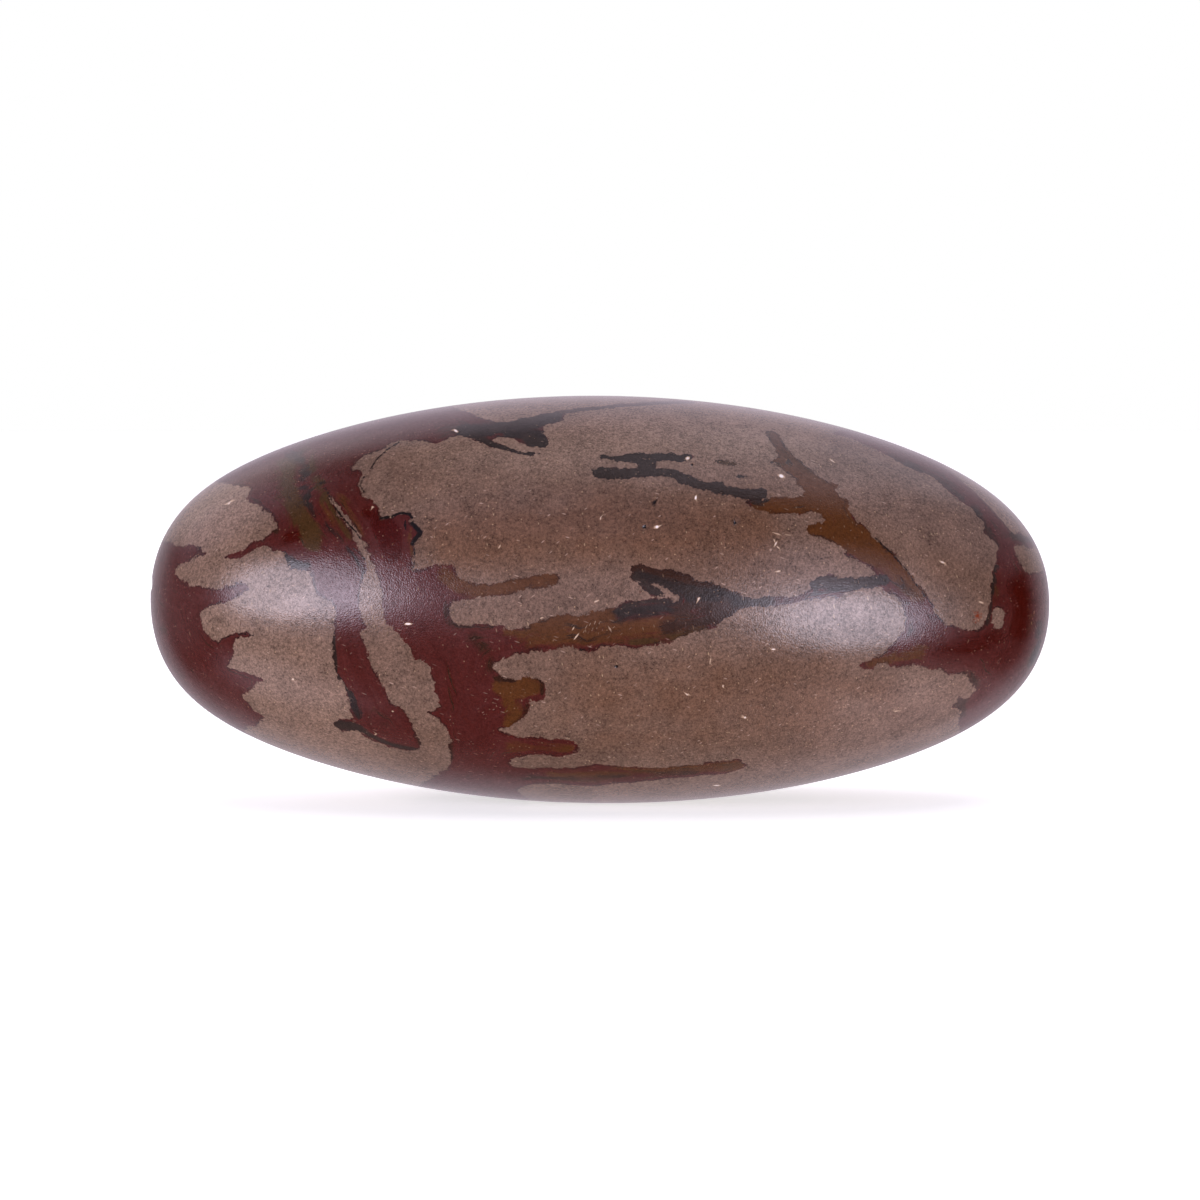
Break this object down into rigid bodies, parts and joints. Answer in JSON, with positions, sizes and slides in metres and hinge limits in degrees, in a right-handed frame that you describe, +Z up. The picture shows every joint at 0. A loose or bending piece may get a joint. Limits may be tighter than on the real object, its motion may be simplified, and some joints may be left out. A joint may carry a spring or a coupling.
{
  "type": "shiva lingam stone",
  "caption": "Polished egg-shaped river stone of banded red, brown and grey jasper, lying on its side on a small worn flat.",
  "frame": {"origin": "on the resting plane, under the middle of the stone", "axes": "+X along the stone's length towards its right end as seen from the front, +Z up, -Y towards the viewer of the front"},
  "size_m": [0.076, 0.0354, 0.0343],
  "materials": {
    "jasper": "polished, mottled taupe with dark red, brown and charcoal bands"
  },
  "bodies": {
    "root": {"stone": "jasper"}
  },
  "joints": []
}
